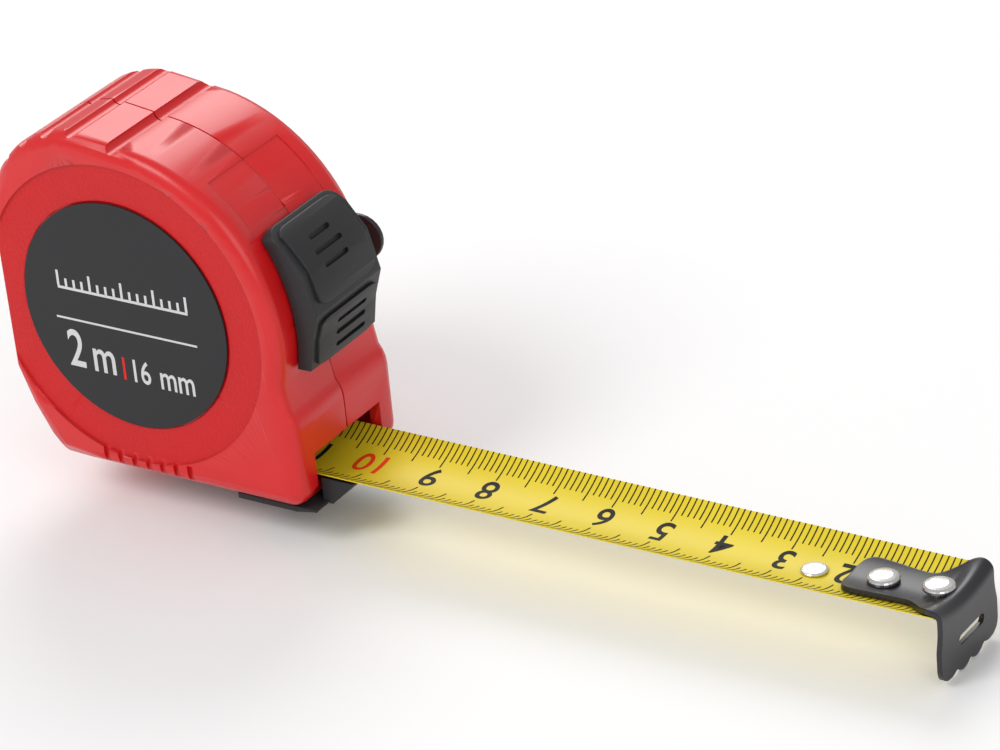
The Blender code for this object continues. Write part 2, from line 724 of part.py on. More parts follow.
case()
case_screws()
label()
front_bumper()
spindle()
mainspring()
reel(reel_axle)
blade(blade_slider)
hook(hook_slider)
lock(lock_pivot)
lock_spring()
belt_clip()
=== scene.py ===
import json
from math import cos, pi, radians, sin, sqrt, tau

import bmesh
import bpy
from mathutils import Matrix, Vector

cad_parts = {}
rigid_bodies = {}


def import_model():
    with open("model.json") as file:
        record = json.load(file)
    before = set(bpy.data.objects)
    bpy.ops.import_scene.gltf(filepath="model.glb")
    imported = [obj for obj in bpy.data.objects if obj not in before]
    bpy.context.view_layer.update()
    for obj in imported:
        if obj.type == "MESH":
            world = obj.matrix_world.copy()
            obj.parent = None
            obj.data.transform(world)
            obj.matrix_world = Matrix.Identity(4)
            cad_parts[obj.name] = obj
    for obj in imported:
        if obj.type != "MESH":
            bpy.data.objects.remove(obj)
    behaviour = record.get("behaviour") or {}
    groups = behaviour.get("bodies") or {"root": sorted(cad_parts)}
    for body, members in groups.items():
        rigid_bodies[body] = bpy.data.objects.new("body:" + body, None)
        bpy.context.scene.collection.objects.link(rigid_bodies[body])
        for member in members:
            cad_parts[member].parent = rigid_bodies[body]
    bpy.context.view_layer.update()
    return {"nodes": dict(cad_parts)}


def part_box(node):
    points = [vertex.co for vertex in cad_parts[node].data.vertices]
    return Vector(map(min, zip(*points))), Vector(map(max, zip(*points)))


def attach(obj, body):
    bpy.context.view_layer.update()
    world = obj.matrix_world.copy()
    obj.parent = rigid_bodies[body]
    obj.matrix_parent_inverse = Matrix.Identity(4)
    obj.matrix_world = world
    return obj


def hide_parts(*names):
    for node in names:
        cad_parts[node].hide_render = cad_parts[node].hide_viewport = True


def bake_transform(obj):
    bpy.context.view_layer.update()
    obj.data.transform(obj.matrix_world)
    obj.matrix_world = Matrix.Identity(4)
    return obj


for thing in list(bpy.data.objects):
    bpy.data.objects.remove(thing)

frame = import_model()
nodes = frame["nodes"]
mm = 0.001

reelLow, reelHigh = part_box("reel_drum")
axisHeight = (reelLow.z + reelHigh.z) / 2
shellLow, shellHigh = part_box("case_left")
bladeLow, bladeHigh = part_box("blade_front")
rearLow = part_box("blade_rear")[0]
hookLow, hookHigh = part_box("hook")
clipLow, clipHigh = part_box("belt_clip")
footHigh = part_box("front_bumper")[1]
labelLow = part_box("label")[0]
print("frame loaded", len(nodes), "nodes")


# camera, light and floor

view = {"place": (0.3966, -0.4900, 0.3376), "turn": -34.68, "down": 27.77, "roll": -5.56, "lens": 167.2}

lamps = {  # name: (place, aimed at, size, watts)
    "key": ((-0.25, -0.75, 0.85), (0.02, 0, 0.02), 0.55, 5.2),
    "fill": ((0.75, -0.55, 0.55), (0.05, 0, 0.02), 0.70, 2.2),
    "back": ((-0.30, 0.60, 0.60), (0.0, 0, 0.03), 0.50, 3.0),
}

stageValues = {
    "floorHalf": 6.0, "floorGap": 0.2, "floorShade": 0.90, "floorRoughness": 0.9, "skyStrength": 0.55,
}


def makeCamera():
    turn, down, roll = (radians(view[key]) for key in ("turn", "down", "roll"))
    forward = Vector((sin(turn) * cos(down), cos(turn) * cos(down), -sin(down)))
    level = forward.cross(Vector((0, 0, 1))).normalized()
    upright = level.cross(forward)
    right = level * cos(roll) + upright * sin(roll)
    up = upright * cos(roll) - level * sin(roll)
    data = bpy.data.cameras.new("camera")
    data.lens = view["lens"]
    data.sensor_width = 36
    data.clip_start = 0.01
    camera = bpy.data.objects.new("camera", data)
    turned = Matrix((right, up, -forward)).transposed().to_4x4()
    camera.matrix_world = Matrix.Translation(view["place"]) @ turned
    bpy.context.scene.collection.objects.link(camera)
    bpy.context.scene.camera = camera


def makeLamp(name, place, aim, size, watts):
    data = bpy.data.lights.new(name, "AREA")
    data.shape = "DISK"
    data.size = size
    data.energy = watts
    lamp = bpy.data.objects.new(name, data)
    lamp.location = place
    lamp.rotation_euler = (Vector(aim) - Vector(place)).to_track_quat("-Z", "Y").to_euler()
    bpy.context.scene.collection.objects.link(lamp)


def makeStage():
    v = stageValues
    bm = bmesh.new()
    bmesh.ops.create_grid(bm, x_segments=1, y_segments=1, size=v["floorHalf"])
    height = hookLow.z - v["floorGap"] * mm  # the hook hangs lowest
    bmesh.ops.translate(bm, verts=bm.verts, vec=(0, 0, height))
    floor = link("floor", bm)
    paper = bpy.data.materials.new("palePaper")
    paper.use_nodes = True
    shader = paper.node_tree.nodes["Principled BSDF"]
    shader.inputs["Base Color"].default_value = (*[v["floorShade"]] * 3, 1)
    shader.inputs["Roughness"].default_value = v["floorRoughness"]
    floor.data.materials.append(paper)
    world = bpy.data.worlds.new("studio")
    world.use_nodes = True
    sky = world.node_tree.nodes["Background"]
    sky.inputs["Color"].default_value = (1, 1, 1, 1)
    sky.inputs["Strength"].default_value = v["skyStrength"]
    bpy.context.scene.world = world
    bpy.context.scene.view_settings.view_transform = "Standard"


# small helpers

def link(name, bm, finish=None, smoothBelow=35):
    mesh = bpy.data.meshes.new(name)
    bm.to_mesh(mesh)
    bm.free()
    mesh.shade_smooth()
    mesh.set_sharp_from_angle(angle=radians(smoothBelow))
    made = bpy.data.objects.new(name, mesh)
    bpy.context.scene.collection.objects.link(made)
    if finish:
        mesh.materials.append(finish)
    return made


def pushed(points, axis, low, high):  # a flat outline pushed along an axis
    def place(along, a, b):
        return {"x": (along, a, b), "y": (a, along, b), "z": (a, b, along)}[axis]
    bm = bmesh.new()
    face = bm.faces.new([bm.verts.new(place(low, a, b)) for a, b in points])
    grown = bmesh.ops.extrude_face_region(bm, geom=[face])["geom"]
    moved = [item for item in grown if isinstance(item, bmesh.types.BMVert)]
    bmesh.ops.translate(bm, verts=moved, vec=place(high - low, 0, 0))
    bmesh.ops.recalc_face_normals(bm, faces=bm.faces)
    return bm


def circlePart(centre, radius, start, end, steps):
    angles = [radians(start + (end - start) * i / steps) for i in range(steps + 1)]
    return [(centre[0] + radius * cos(a), centre[1] + radius * sin(a)) for a in angles]


def turnedRing(profile, steps=128):  # a closed profile of (radius, y) spun round the reel's axis
    bm = bmesh.new()
    face = bm.faces.new([bm.verts.new((radius, y, axisHeight)) for radius, y in profile])
    edges = list(face.edges)
    bm.faces.remove(face)
    bmesh.ops.spin(
        bm, geom=edges, cent=(0, 0, axisHeight), axis=(0, 1, 0), angle=tau, steps=steps, use_merge=True
    )
    bmesh.ops.remove_doubles(bm, verts=bm.verts, dist=1e-7)
    bmesh.ops.recalc_face_normals(bm, faces=bm.faces)
    return bm


def pill(centre, halfLength, radius):  # a round-ended slot's outline
    right = circlePart((centre[0] + halfLength, centre[1]), radius, -90, 90, 8)
    return right + circlePart((centre[0] - halfLength, centre[1]), radius, 90, 270, 8)


def carve(target, bm, operation="DIFFERENCE"):
    modifier = target.modifiers.new("carve", "BOOLEAN")
    modifier.operation = operation
    modifier.solver = "EXACT"
    modifier.object = link("cutter", bm)


def softEdges(target, width, segments=2, angle=30):
    bevel = target.modifiers.new("softEdges", "BEVEL")
    bevel.width = width
    bevel.segments = segments
    bevel.limit_method = "ANGLE"
    bevel.angle_limit = radians(angle)


def settle(target, smoothBelow=35):  # the modifiers' result becomes the mesh
    graph = bpy.context.evaluated_depsgraph_get()
    mesh = bpy.data.meshes.new_from_object(target.evaluated_get(graph))
    cutters = [modifier.object for modifier in target.modifiers if modifier.type == "BOOLEAN"]
    target.modifiers.clear()
    old = target.data
    target.data = mesh
    bpy.data.meshes.remove(old)
    for cutter in cutters:
        bpy.data.objects.remove(cutter)
    mesh.shade_smooth()
    mesh.set_sharp_from_angle(angle=radians(smoothBelow))


def evenNormals(target):  # large flat faces decide how their edges are shaded
    weigh = target.modifiers.new("evenNormals", "WEIGHTED_NORMAL")
    weigh.weight = 50
    weigh.keep_sharp = True


# finishes

cloudSize = 60.0  # per m, the slow change of tint and roughness over a surface
tintSpread, roughnessSpread, coatRoughness = 0.10, 0.06, 0.18


def makeGrainGroup():
    group = bpy.data.node_groups.new("mouldGrain", "ShaderNodeTree")
    group.interface.new_socket(name="Place", in_out="INPUT", socket_type="NodeSocketVector")
    group.interface.new_socket(name="Grain Size", in_out="INPUT", socket_type="NodeSocketFloat")
    size = group.interface.new_socket(name="Cloud Size", in_out="INPUT", socket_type="NodeSocketFloat")
    size.default_value = cloudSize
    group.interface.new_socket(name="Height", in_out="OUTPUT", socket_type="NodeSocketFloat")
    group.interface.new_socket(name="Cloud", in_out="OUTPUT", socket_type="NodeSocketFloat")
    inside = group.nodes.new("NodeGroupInput")
    outside = group.nodes.new("NodeGroupOutput")
    grain = group.nodes.new("ShaderNodeTexNoise")
    grain.inputs["Detail"].default_value = 3.0
    cloud = group.nodes.new("ShaderNodeTexNoise")
    cloud.inputs["Detail"].default_value = 4.0
    group.links.new(inside.outputs["Place"], grain.inputs["Vector"])
    group.links.new(inside.outputs["Place"], cloud.inputs["Vector"])
    group.links.new(inside.outputs["Grain Size"], grain.inputs["Scale"])
    group.links.new(inside.outputs["Cloud Size"], cloud.inputs["Scale"])
    group.links.new(grain.outputs["Fac"], outside.inputs["Height"])
    group.links.new(cloud.outputs["Fac"], outside.inputs["Cloud"])
    return group


mouldGrain = makeGrainGroup()

finishValues = {  # colour, roughness, metallic, grain size per m, bump in mm, coat, specular
    "redShell": ((0.62, 0.006, 0.008), 0.33, 0.0, 2200, 0.008, 0.10, 0.5),
    "redGrainRing": ((0.56, 0.006, 0.008), 0.50, 0.0, 2400, 0.120, 0.0, 0.35),
    "blackLabel": ((0.020, 0.020, 0.022), 0.42, 0.0, 1500, 0.006, 0.05, 0.25),
    "blackLock": ((0.021, 0.021, 0.023), 0.46, 0.0, 2400, 0.020, 0.0, 0.35),
    "blackBumper": ((0.022, 0.022, 0.024), 0.60, 0.0, 2000, 0.030, 0.0, 0.3),
    "blackSteel": ((0.018, 0.016, 0.020), 0.36, 0.10, 1200, 0.006, 0.10, 0.5),
    "clipSteel": ((0.030, 0.030, 0.033), 0.36, 0.45, 1200, 0.006, 0.10, 0.5),
    "brightRivet": ((0.70, 0.69, 0.68), 0.27, 1.0, 1800, 0.008, 0.0, 0.5),
    "screwSteel": ((0.42, 0.42, 0.43), 0.36, 1.0, 1800, 0.008, 0.0, 0.5),
    "springSteel": ((0.30, 0.31, 0.33), 0.35, 1.0, 1500, 0.006, 0.0, 0.5),
    "greyReel": ((0.12, 0.12, 0.13), 0.50, 0.0, 1800, 0.015, 0.0, 0.4),
    "yellowPaint": ((0.74, 0.58, 0.018), 0.46, 0.0, 1500, 0.003, 0.0, 0.35),
    "blackInk": ((0.012, 0.011, 0.008), 0.55, 0.0, 1500, 0.002, 0.0, 0.15),
    "redInk": ((0.80, 0.050, 0.006), 0.55, 0.0, 1500, 0.002, 0.0, 0.15),
    "redInkOnLabel": ((0.70, 0.020, 0.010), 0.50, 0.0, 1500, 0.002, 0.0, 0.2),
    "paleInk": ((0.62, 0.62, 0.62), 0.48, 0.0, 1500, 0.002, 0.0, 0.2),
}


def makeFinish(name, coordinates="Object"):
    colour, roughness, metallic, grainSize, depth, coat, specular = finishValues[name]
    made = bpy.data.materials.new(name)
    made.use_nodes = True
    tree = made.node_tree
    shader = tree.nodes["Principled BSDF"]
    shader.inputs["Metallic"].default_value = metallic
    shader.inputs["Coat Weight"].default_value = coat
    shader.inputs["Specular IOR Level"].default_value = specular
    shader.inputs["Coat Roughness"].default_value = coatRoughness
    place = tree.nodes.new("ShaderNodeTexCoord")
    grain = tree.nodes.new("ShaderNodeGroup")
    grain.node_tree = mouldGrain
    grain.inputs["Grain Size"].default_value = grainSize
    tree.links.new(place.outputs[coordinates], grain.inputs["Place"])
    tint = tree.nodes.new("ShaderNodeMix")
    tint.data_type = "RGBA"
    tint.inputs["A"].default_value = (*[c * (1 - tintSpread) for c in colour], 1)
    tint.inputs["B"].default_value = (*[min(c * (1 + tintSpread), 1) for c in colour], 1)
    tree.links.new(grain.outputs["Cloud"], tint.inputs["Factor"])
    tree.links.new(tint.outputs["Result"], shader.inputs["Base Color"])
    sheen = tree.nodes.new("ShaderNodeMapRange")
    sheen.inputs["To Min"].default_value = roughness - roughnessSpread
    sheen.inputs["To Max"].default_value = roughness + roughnessSpread
    tree.links.new(grain.outputs["Cloud"], sheen.inputs["Value"])
    tree.links.new(sheen.outputs["Result"], shader.inputs["Roughness"])
    bump = tree.nodes.new("ShaderNodeBump")
    bump.inputs["Distance"].default_value = depth * mm
    tree.links.new(grain.outputs["Height"], bump.inputs["Height"])
    tree.links.new(bump.outputs["Normal"], shader.inputs["Normal"])
    return made


onStrip = ("yellowPaint", "blackInk", "redInk")  # these follow their own UV map rather than Object coordinates
finishes = {name: makeFinish(name, "UV" if name in onStrip else "Object") for name in finishValues}


def finishNode(name, finish):  # a CAD solid that stays gets its finish in its own slots
    for slot in nodes[name].material_slots:
        slot.material = finishes[finish]


# blade: one printed strip from the reel to the hook

stripValues = {
    "thick": 0.2, "markWidth": 0.21, "ink": 0.02,
    "farMark": 3.1, "farLong": 4.5, "nearMark": 3.7, "nearLong": 5.5,
    "figureHeight": 4.8, "figureMiddle": 0.8, "figureShift": 0.1, "secondFigure": 1.0,
    "bold": 0.02, "narrow": 0.9, "inkLift": 0.03, "rows": (145, 20), "figureRow": 0.5,
    "heldBefore": 0.8, "heldAfter": 0.2,  # how far past its ends a blend of the strip would run
}
halfStrip = bladeHigh.y
stripSag = bladeHigh.z - bladeLow.z - stripValues["thick"] * mm
stripCurve = (halfStrip ** 2 + stripSag ** 2) / (2 * stripSag)
scaleStart = hookHigh.x  # the marks count from the hook's outer face
stripStart, stripEnd = rearLow.x, bladeHigh.x


def stripHeight(y):
    y = min(abs(y), halfStrip)
    return bladeHigh.z - (sqrt(stripCurve ** 2 - y ** 2) - sqrt(stripCurve ** 2 - halfStrip ** 2))


def stripMap(bm):  # a UV map in metres that bends with the strip
    layer = bm.loops.layers.uv.verify()
    for face in bm.faces:
        for loop in face.loops:
            loop[layer].uv = (loop.vert.co.x, loop.vert.co.y)


def onBothEnds(piece):
    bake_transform(piece)


def makeStrip():
    along, across = stripValues["rows"]
    bm = bmesh.new()
    bmesh.ops.create_grid(bm, x_segments=along, y_segments=across, size=1.0)
    for vert in bm.verts:
        vert.co.x = stripStart + (stripEnd - stripStart) * (vert.co.x + 1) / 2
        vert.co.y *= halfStrip
        vert.co.z = stripHeight(vert.co.y)
    bmesh.ops.solidify(bm, geom=bm.faces, thickness=stripValues["thick"] * mm)
    bmesh.ops.recalc_face_normals(bm, faces=bm.faces)
    stripMap(bm)
    strip = link("printedStrip", bm, finishes["yellowPaint"])
    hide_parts("blade_front", "blade_rear")
    onBothEnds(strip)


def layInk(bm):  # flat ink laid on the curved face, then given its thickness
    for vert in bm.verts:
        vert.co.z = stripHeight(vert.co.y) + stripValues["inkLift"] * mm
    bmesh.ops.recalc_face_normals(bm, faces=bm.faces)
    if sum(face.normal.z * face.calc_area() for face in bm.faces) < 0:
        bmesh.ops.reverse_faces(bm, faces=bm.faces)
    bmesh.ops.solidify(bm, geom=bm.faces, thickness=stripValues["ink"] * mm)
    bmesh.ops.recalc_face_normals(bm, faces=bm.faces)
    stripMap(bm)


def makeMarks():
    v = stripValues
    bm = bmesh.new()
    halfMark = v["markWidth"] * mm / 2
    count = int((scaleStart - stripStart) / mm)
    for k in range(2, count):
        x = scaleStart - k * mm
        if x > stripEnd - halfMark:
            continue
        far = v["farLong" if k % 5 == 0 else "farMark"] * mm
        near = v["nearLong" if k % 5 == 0 else "nearMark"] * mm
        for middle, length in ((halfStrip - far / 2, far), (near / 2 - halfStrip, near)):
            place = Matrix.Translation((x, middle, 0)) @ Matrix.Diagonal((halfMark, length / 2, 1, 1))
            bmesh.ops.create_grid(bm, x_segments=1, y_segments=4, size=1.0, matrix=place)
    layInk(bm)
    marks = link("millimetreMarks", bm, finishes["blackInk"])
    onBothEnds(marks)


def textShape(words, height, bold, narrow=1.0):  # flat text as a mesh in the xy plane, centred on zero
    curve = bpy.data.curves.new("words", "FONT")
    curve.body = words
    curve.align_x = "CENTER"
    curve.resolution_u = 6
    curve.offset = bold * 0.5
    lettering = bpy.data.objects.new("words", curve)
    bpy.context.scene.collection.objects.link(lettering)
    graph = bpy.context.evaluated_depsgraph_get()
    mesh = bpy.data.meshes.new_from_object(lettering.evaluated_get(graph))
    bm = bmesh.new()
    bm.from_mesh(mesh)
    bpy.data.objects.remove(lettering)
    bpy.data.curves.remove(curve)
    bpy.data.meshes.remove(mesh)
    low, high = min(vert.co.y for vert in bm.verts), max(vert.co.y for vert in bm.verts)
    left, right = min(vert.co.x for vert in bm.verts), max(vert.co.x for vert in bm.verts)
    bmesh.ops.translate(bm, verts=bm.verts, vec=(-(left + right) / 2, -(low + high) / 2, 0))
    grow = height / (high - low)
    bmesh.ops.scale(bm, verts=bm.verts, vec=(grow * narrow, grow, 1))
    bmesh.ops.remove_doubles(bm, verts=bm.verts, dist=1e-6)
    return bm


def makeFigures():
    v = stripValues
    last = int((scaleStart - stripStart) / (10 * mm))
    for number in range(2, last + 1):
        words = textShape(str(number), v["figureHeight"] * mm, v["bold"], v["narrow"])
        turned = Matrix.Rotation(pi, 4, "Z")
        back = v["secondFigure"] * (len(str(number)) - 1)
        x = scaleStart - number * 10 * mm + (v["figureShift"] - back) * mm
        bmesh.ops.transform(words, verts=words.verts, matrix=turned)
        bmesh.ops.translate(words, verts=words.verts, vec=(x, v["figureMiddle"] * mm, 0))
        for cut in range(-5, 9):  # enough rows to follow the strip's curve
            everything = list(words.verts) + list(words.edges) + list(words.faces)
            row = (0, cut * v["figureRow"] * mm, 0)
            bmesh.ops.bisect_plane(words, geom=everything, plane_co=row, plane_no=(0, 1, 0))
        layInk(words)
        red = number % 10 == 0
        figure = link(f"figure_{number}", words, finishes["redInk" if red else "blackInk"])
        onBothEnds(figure)


# hook: a pressed sheet with a dished bend and a toothed lower edge

hookValues = {
    "plate": 0.8, "clear": 0.3, "bend": 1.7, "dish": 0.5, "flatterFrom": 4.4,
    "tail": 4.5, "tailRound": 2.2, "tailEnd": 0.45, "waist": 3.9,
    "flareAt": 7.8, "flareEnd": 1.6, "flareIn": 0.1,
    "shoulder": 2.7, "teeth": 4, "pitch": 4.1, "bite": 0.75, "bow": 0.6,
    "widenFrom": 0.15, "widenOver": 0.5,  # shares of the front's height over which it reaches its full width
    "slot": (0.6, -1.0), "slotHalf": 3.0, "slotRadius": 0.8, "edge": 0.12,
    "topRows": 44, "bendRows": 8, "frontRows": 26, "sideRows": 60,
}


def smoothStep(share):
    share = min(max(share, 0.0), 1.0)
    return share * share * (3 - 2 * share)


def quarterRound(share):  # from 1 at the middle of an arc to 0 at its end
    return sqrt(max(0.0, 1 - share * share))


def hookTop(x, y):  # the pressed sheet's upper face
    v = hookValues
    over = stripHeight(y) + (v["clear"] + v["plate"]) * mm
    flatter = (1 - v["dish"]) * (bladeHigh.z - stripHeight(y))
    start = hookHigh.x - v["flatterFrom"] * mm
    return over + flatter * smoothStep((x - start) / ((v["flatterFrom"] - v["bend"]) * mm))


def hookSide(x):  # half its width along the top
    v = hookValues
    back = (hookHigh.x - x) / mm
    along = (x - hookLow.x) / mm
    if along < v["tailRound"]:
        rounding = quarterRound(1 - along / v["tailRound"])
        return v["tail"] * (v["tailEnd"] + (1 - v["tailEnd"]) * rounding) * mm
    if back > v["flareAt"]:
        span = (hookHigh.x - hookLow.x) / mm - v["tailRound"] - v["flareAt"]
        return (v["tail"] + (v["waist"] - v["tail"]) * smoothStep((along - v["tailRound"]) / span)) * mm
    full = bladeHigh.y / mm - v["flareIn"]
    flare = smoothStep((v["flareAt"] - back) / (v["flareAt"] - v["flareEnd"]))
    return (v["waist"] + (full - v["waist"]) * flare) * mm


def hookEdge(y):  # height of the toothed lower edge
    v = hookValues
    outer = v["pitch"] * (v["teeth"] - 1) / 2
    a = abs(y / mm)
    low = hookLow.z / mm + v["bow"] * min(a / outer, 1) ** 2
    if a <= outer:
        return (low + v["bite"] * (1 - abs(cos(pi * (a - outer) / v["pitch"])))) * mm
    rest = min((a - outer) / (hookHigh.y / mm - outer), 1)
    return (low + (v["shoulder"] - v["bow"]) * (1 - quarterRound(rest))) * mm


def makeHook():
    v = hookValues
    frontStart = v["topRows"] + v["bendRows"]
    rows = frontStart + v["frontRows"]
    bm = bmesh.new()
    bmesh.ops.create_grid(bm, x_segments=rows, y_segments=v["sideRows"], size=1.0)
    bend = v["bend"] * mm
    bendStart = hookHigh.x - bend
    for vert in bm.verts:
        row = round((vert.co.x + 1) / 2 * rows)
        share = vert.co.y
        if row <= v["topRows"]:
            x = hookLow.x + (bendStart - hookLow.x) * row / v["topRows"]
            y = share * hookSide(x)
            vert.co = (x, y, hookTop(x, y))
        elif row <= frontStart:
            angle = radians(90) * (row - v["topRows"]) / v["bendRows"]
            y = share * hookSide(bendStart)
            vert.co = (bendStart + bend * sin(angle), y, hookTop(bendStart, y) - bend * (1 - cos(angle)))
        else:
            part = (row - frontStart) / v["frontRows"]
            side = hookSide(bendStart)
            wider = smoothStep((part - v["widenFrom"]) / v["widenOver"])
            y = share * (side + (hookHigh.y - side) * wider)
            top = hookTop(bendStart, y) - bend
            vert.co = (hookHigh.x, y, top + (hookEdge(y) - top) * part)
    bmesh.ops.recalc_face_normals(bm, faces=bm.faces)
    if sum(face.normal.z for face in bm.faces) < 0:
        bmesh.ops.reverse_faces(bm, faces=bm.faces)
    bmesh.ops.solidify(bm, geom=bm.faces, thickness=v["plate"] * mm)
    bmesh.ops.recalc_face_normals(bm, faces=bm.faces)
    hook = link("pressedHook", bm, finishes["blackSteel"], 40)
    slotOutline = pill((v["slot"][0] * mm, v["slot"][1] * mm), v["slotHalf"] * mm, v["slotRadius"] * mm)
    carve(hook, pushed(slotOutline, "x", hookHigh.x - 2 * mm, hookHigh.x + mm))
    softEdges(hook, v["edge"] * mm, 2, 50)
    settle(hook, 40)
    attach(hook, "hook")
    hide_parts("hook")


# thumb lock: a folded body with two raised pads, grooved for the thumb

lockValues = {
    "under": 28.1, "low": -11.0, "high": 34.0, "side": 8.6, "round": 0.7, "topRound": 2.6,
    "face": ((-10.0, 30.46), (-0.6, 30.8), (7.3, 32.46), (19.0, 32.3), (28.0, 30.9), (34.0, 29.6)),
    "lowerPad": (-9.4, 5.2), "upperPad": (9.2, 32.6), "padSide": 7.3, "padRise": 0.45, "padRound": 2.4,
    "padRoot": 1.0, "padEdge": 0.22, "grooveDepth": 0.55, "grooveRadius": 0.40, "grooveEdge": 0.10,
    "lowerGrooves": ((-6.2, 1.0, 3.4), (-2.4, 1.0, 3.4), (1.4, 1.0, 3.4)),  # degrees, sideways, half length
    "upperGrooves": ((18.0, -0.6, 2.6), (22.0, -0.6, 3.0), (26.0, -0.6, 2.2)),
}


def aroundReel(degrees, radius):
    return (radius * mm * cos(radians(degrees)), axisHeight + radius * mm * sin(radians(degrees)))


def lockFace(degrees):  # radius of its outer face
    face = lockValues["face"]
    for (a, ra), (b, rb) in zip(face, face[1:]):
        if degrees <= b:
            return ra + (rb - ra) * (degrees - a) / (b - a)
    return face[-1][1]


def degreesUp(point):
    return Vector((1, 0)).angle_signed(Vector((point.x, point.z - axisHeight))) * -180 / pi


def roundCorners(bm, degrees, radius):  # at one end of a plate that lies round the reel
    reach = 1.2  # degrees
    corners = []
    for edge in bm.edges:
        a, b = (vert.co for vert in edge.verts)
        if abs(a.y - b.y) < 1e-6 and all(abs(degreesUp(point) - degrees) < reach for point in (a, b)):
            corners.append(edge)
    bmesh.ops.bevel(
        bm, geom=corners, offset=radius * mm, segments=6, profile=0.5, affect="EDGES", material=-1
    )


def makePad(span):
    v = lockValues
    low, high = span
    steps = 10
    angles = [low + (high - low) * i / steps for i in range(steps + 1)]
    outline = [aroundReel(a, lockFace(a) + v["padRise"]) for a in angles]
    outline += [aroundReel(a, lockFace(a) - v["padRoot"]) for a in reversed(angles)]
    side = v["padSide"] * mm
    bm = pushed(outline, "y", -side, side)
    roundCorners(bm, low, v["padRound"])
    roundCorners(bm, high, v["padRound"])
    return bm


def makeLock():
    v = lockValues
    outline = circlePart((0, axisHeight), v["under"] * mm, v["high"], v["low"], 18)
    outline += [aroundReel(*corner) for corner in v["face"]]
    body = pushed(outline, "y", -v["side"] * mm, v["side"] * mm)
    roundCorners(body, v["high"], v["topRound"])
    lock = link("thumbLock", body, finishes["blackLock"])
    softEdges(lock, v["round"] * mm, 4, 20)
    settle(lock)
    for span in (v["lowerPad"], v["upperPad"]):
        pad = link("pad", makePad(span))
        softEdges(pad, v["padEdge"] * mm, 3, 40)
        settle(pad)
        shape = bmesh.new()
        shape.from_mesh(pad.data)
        bpy.data.objects.remove(pad)
        carve(lock, shape, "UNION")
        settle(lock)
    for degrees, sideways, half in (*v["lowerGrooves"], *v["upperGrooves"]):
        floor = (lockFace(degrees) + v["padRise"] - v["grooveDepth"]) * mm
        slot = pill((sideways * mm, 0), half * mm, v["grooveRadius"] * mm)
        groove = pushed(slot, "x", floor, floor + 3 * mm)
        turn = Matrix.Rotation(radians(-degrees), 3, "Y")
        bmesh.ops.rotate(groove, verts=groove.verts, cent=(0, 0, 0), matrix=turn)
        bmesh.ops.translate(groove, verts=groove.verts, vec=(0, 0, axisHeight))
        carve(lock, groove)
    settle(lock)
    softEdges(lock, v["grooveEdge"] * mm, 2, 50)
    settle(lock)
    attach(lock, "lock")
    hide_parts("lock_button")


# shells: the CAD halves with their outside details cut in

shellValues = {
    "roundFront": 27.8,
    "ring": (18.5, 24.8, 0.45),  # inner and outer radius, depth
    "crown": (-5.5, 39.0, 18.0),  # centre x and z, radius
    "ribs": (68, 92, 108, 124, 140, 156), "ribRadius": 1.3, "ribDepth": 0.8,
    "track": (33.0, 56.0, 8.9, 0.15),  # from, to, half width, depth
    "toeRibs": (-7.0, 2.6, 7),  # first x, pitch, count
    "toeDepth": 0.5, "toeHalf": 0.5, "toeTop": 4.5,
    "skirt": (4.6, 2.6),  # height and width of the slope under the rear
    "skirtEnds": (-30, 14), "skirtShoulder": 0.8, "trackSteps": 10,
}


def mergedCopy(name):
    bm = bmesh.new()
    bm.from_mesh(nodes[name].data)
    bmesh.ops.remove_doubles(bm, verts=bm.verts, dist=1e-6)
    return bm


def makeShell(name, node, side):
    v = shellValues
    outside = side * -shellLow.y
    shell = link(name, mergedCopy(node), finishes["redShell"])
    centreX, centreZ, radius = (value * mm for value in v["crown"])
    for degrees in v["ribs"]:
        reach = radius + (v["ribRadius"] - v["ribDepth"]) * mm
        middle = (centreX + reach * cos(radians(degrees)), centreZ + reach * sin(radians(degrees)))
        carve(shell, pushed(circlePart(middle, v["ribRadius"] * mm, 0, 345, 23), "y", -20 * mm, 20 * mm))
    low, high, half, depth = v["track"]
    sunk = v["roundFront"] - depth
    angles = [low + (high - low) * i / v["trackSteps"] for i in range(v["trackSteps"] + 1)]
    track = [aroundReel(angle, sunk) for angle in angles]
    track += [aroundReel(angle, sunk + 3) for angle in reversed(angles)]
    carve(shell, pushed(track, "y", -half * mm, half * mm))
    tall, wide = (value * mm for value in v["skirt"])
    base = shellLow.z
    past, under = outside * 1.1, outside - side * wide * 1.1  # the cutter runs past the wall
    slope = [(past, base - mm), (past, base + tall), (outside, base + tall * v["skirtShoulder"])]
    slope += [(outside - side * wide, base), (under, base - mm)]
    skirt = pushed(slope, "x", *(end * mm for end in v["skirtEnds"]))
    front = [vert for vert in skirt.verts if vert.co.x > 0]
    bmesh.ops.translate(skirt, verts=front, vec=(0, 0, -tall))  # the slope runs out towards the nose
    carve(shell, skirt)
    first, pitch, count = v["toeRibs"]
    for i in range(count):
        x = (first + pitch * i) * mm
        cut = sorted((outside - side * v["toeDepth"] * mm, outside + side * mm))
        left, right, top = x - v["toeHalf"] * mm, x + v["toeHalf"] * mm, v["toeTop"] * mm
        notch = [(left, 0), (right, 0), (right, top), (left, top)]
        carve(shell, pushed(notch, "y", *cut))
    inner, outer, deep = (value * mm for value in v["ring"])
    floor = outside + deep
    if side < 0:  # the ring lies round the label
        profile = [(inner, outside - mm), (outer, outside - mm), (outer, floor), (inner, floor)]
        carve(shell, turnedRing(profile))
    settle(shell, 28)
    shell.data.materials.append(finishes["redGrainRing"])
    if side < 0:
        for face in shell.data.polygons:
            middle = face.center
            if abs(middle.y - floor) < 0.05 * mm and face.normal.y < -0.9:
                face.material_index = 1
    evenNormals(shell)
    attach(shell, "case")
    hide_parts(node)


